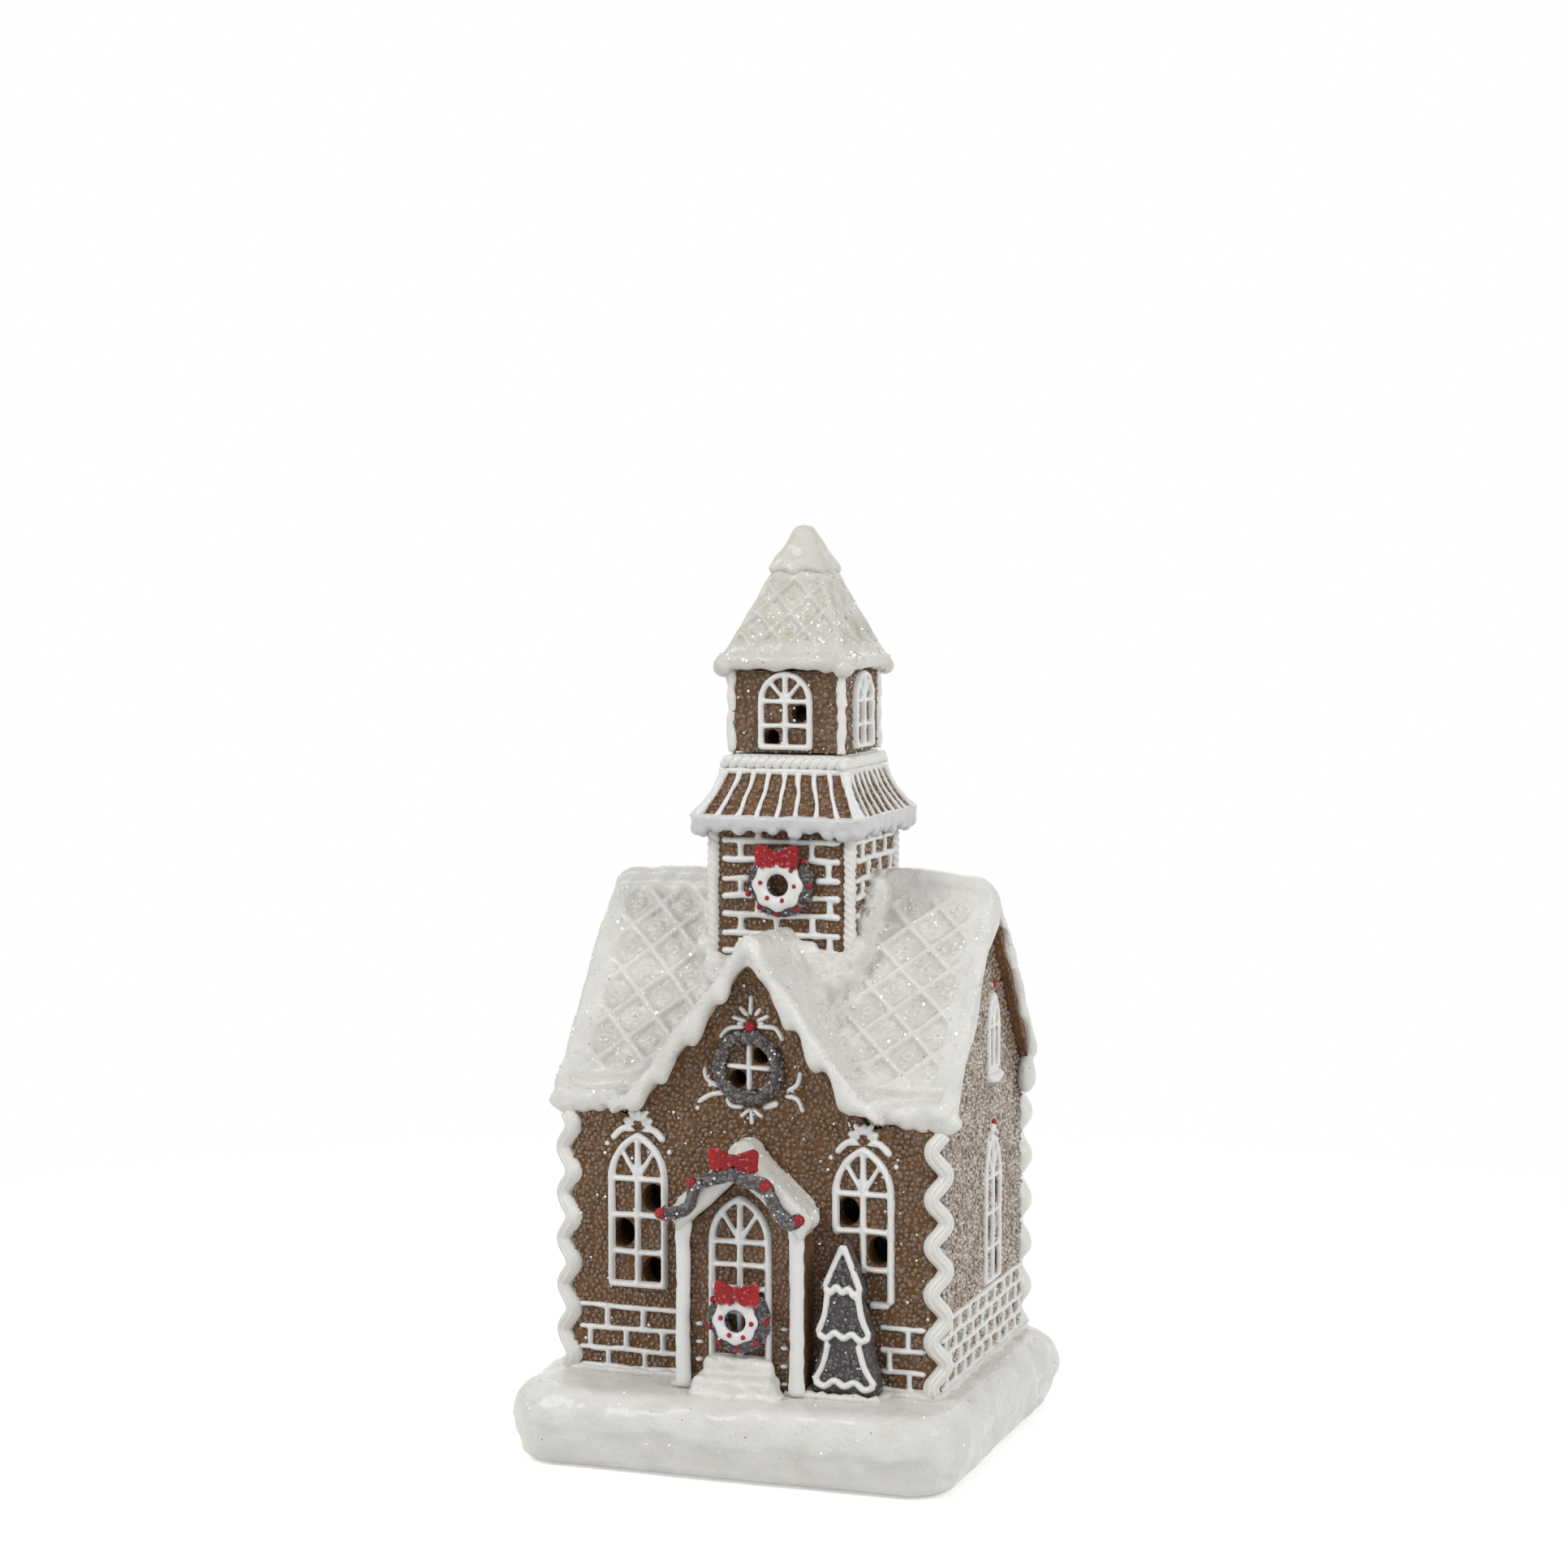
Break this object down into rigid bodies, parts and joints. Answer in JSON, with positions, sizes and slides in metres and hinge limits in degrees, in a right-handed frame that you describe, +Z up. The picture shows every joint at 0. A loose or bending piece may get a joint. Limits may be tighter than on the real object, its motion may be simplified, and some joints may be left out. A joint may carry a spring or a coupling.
{
  "type": "lighted gingerbread church ornament",
  "caption": "Gingerbread church ornament with snowy waffle roofs, a bell tower, piped icing windows, a wreathed porch, inner lamps and a battery compartment in its snow base.",
  "frame": {"origin": "middle of the snow base's underside, on the table", "axes": "+Z up along the tower, -Y towards the porch and front door, +X to the right as seen from the front"},
  "size_m": [0.1116, 0.1064, 0.22],
  "materials": {
    "snow": "cream-white moulded snow with a soft sheen and glitter",
    "gingerbread": "brown biscuit under clear sugar beads",
    "icing": "piped white icing, satin",
    "dark_sugar": "charcoal under clear sugar beads",
    "red_icing": "glossy red with sparse beads",
    "plastic": "fine grained off-white moulding",
    "steel": "plated",
    "cell_jacket": "plain printed-free sleeve, satin",
    "lamp": "warm clear resin",
    "wire_jacket": "smooth insulation"
  },
  "bodies": {
    "church": {"snow_base": "snow", "front_wall": "gingerbread", "back_wall": "gingerbread", "right_wall": "gingerbread", "left_wall": "gingerbread", "roof_front_left": "snow", "roof_front_right": "snow", "roof_back": "snow", "gable_roof_left": "snow", "gable_roof_right": "snow", "tower_shaft": "gingerbread", "skirt_roof": "gingerbread", "rope_belt": "icing", "belfry": "gingerbread", "spire_roof": "snow", "spire_cap": "snow", "window_front_left": "icing", "window_front_right": "icing", "window_back": "icing", "window_right_lower": "icing", "window_right_upper": "icing", "window_left_lower": "icing", "window_left_upper": "icing", "belfry_window_front": "icing", "belfry_window_right": "icing", "belfry_window_back": "icing", "belfry_window_left": "icing", "corner_icing_front_right": "icing", "corner_icing_back_right": "icing", "corner_icing_back_left": "icing", "corner_icing_front_left": "icing", "tower_wreath": "dark_sugar", "tower_wreath_icing": "icing", "tower_bow": "red_icing", "door_wreath": "dark_sugar", "door_wreath_icing": "icing", "door_bow": "red_icing", "rose_wreath": "dark_sugar", "rose_cross": "icing", "porch_block": "gingerbread", "porch_roof": "snow", "porch_column_left": "icing", "porch_column_right": "icing", "door_icing": "icing", "porch_garland": "dark_sugar", "porch_bow": "red_icing", "door_steps": "snow", "tree": "dark_sugar", "battery_tray": "plastic", "battery_cell_front": "cell_jacket", "battery_cell_back": "cell_jacket", "spring_contact_left": "steel", "spring_contact_right": "steel", "flat_contact_left": "steel", "lamp_wire": "wire_jacket", "lamp_house": "lamp", "lamp_tower": "lamp"},
    "compartment_door": {"battery_door": "plastic"},
    "captive_screw": {"door_screw": "steel"},
    "light_switch": {"switch_slider": "plastic"}
  },
  "joints": [
    {"name": "compartment_door_swing", "type": "hinge", "parent": "church", "child": "compartment_door", "pos_m": [-0.03005, -0.00425, 0.001], "axis": [0, 1, 0], "range_deg": [0, 100]},
    {"name": "captive_screw_turn", "type": "hinge", "parent": "compartment_door", "child": "captive_screw", "pos_m": [0.02705, -0.00425, 0.001], "axis": [0, 0, 1], "range_deg": [0, 360]},
    {"name": "light_switch_slide", "type": "slide", "parent": "church", "child": "light_switch", "axis": [1, 0, 0], "range_m": [0, 0.003]}
  ]
}
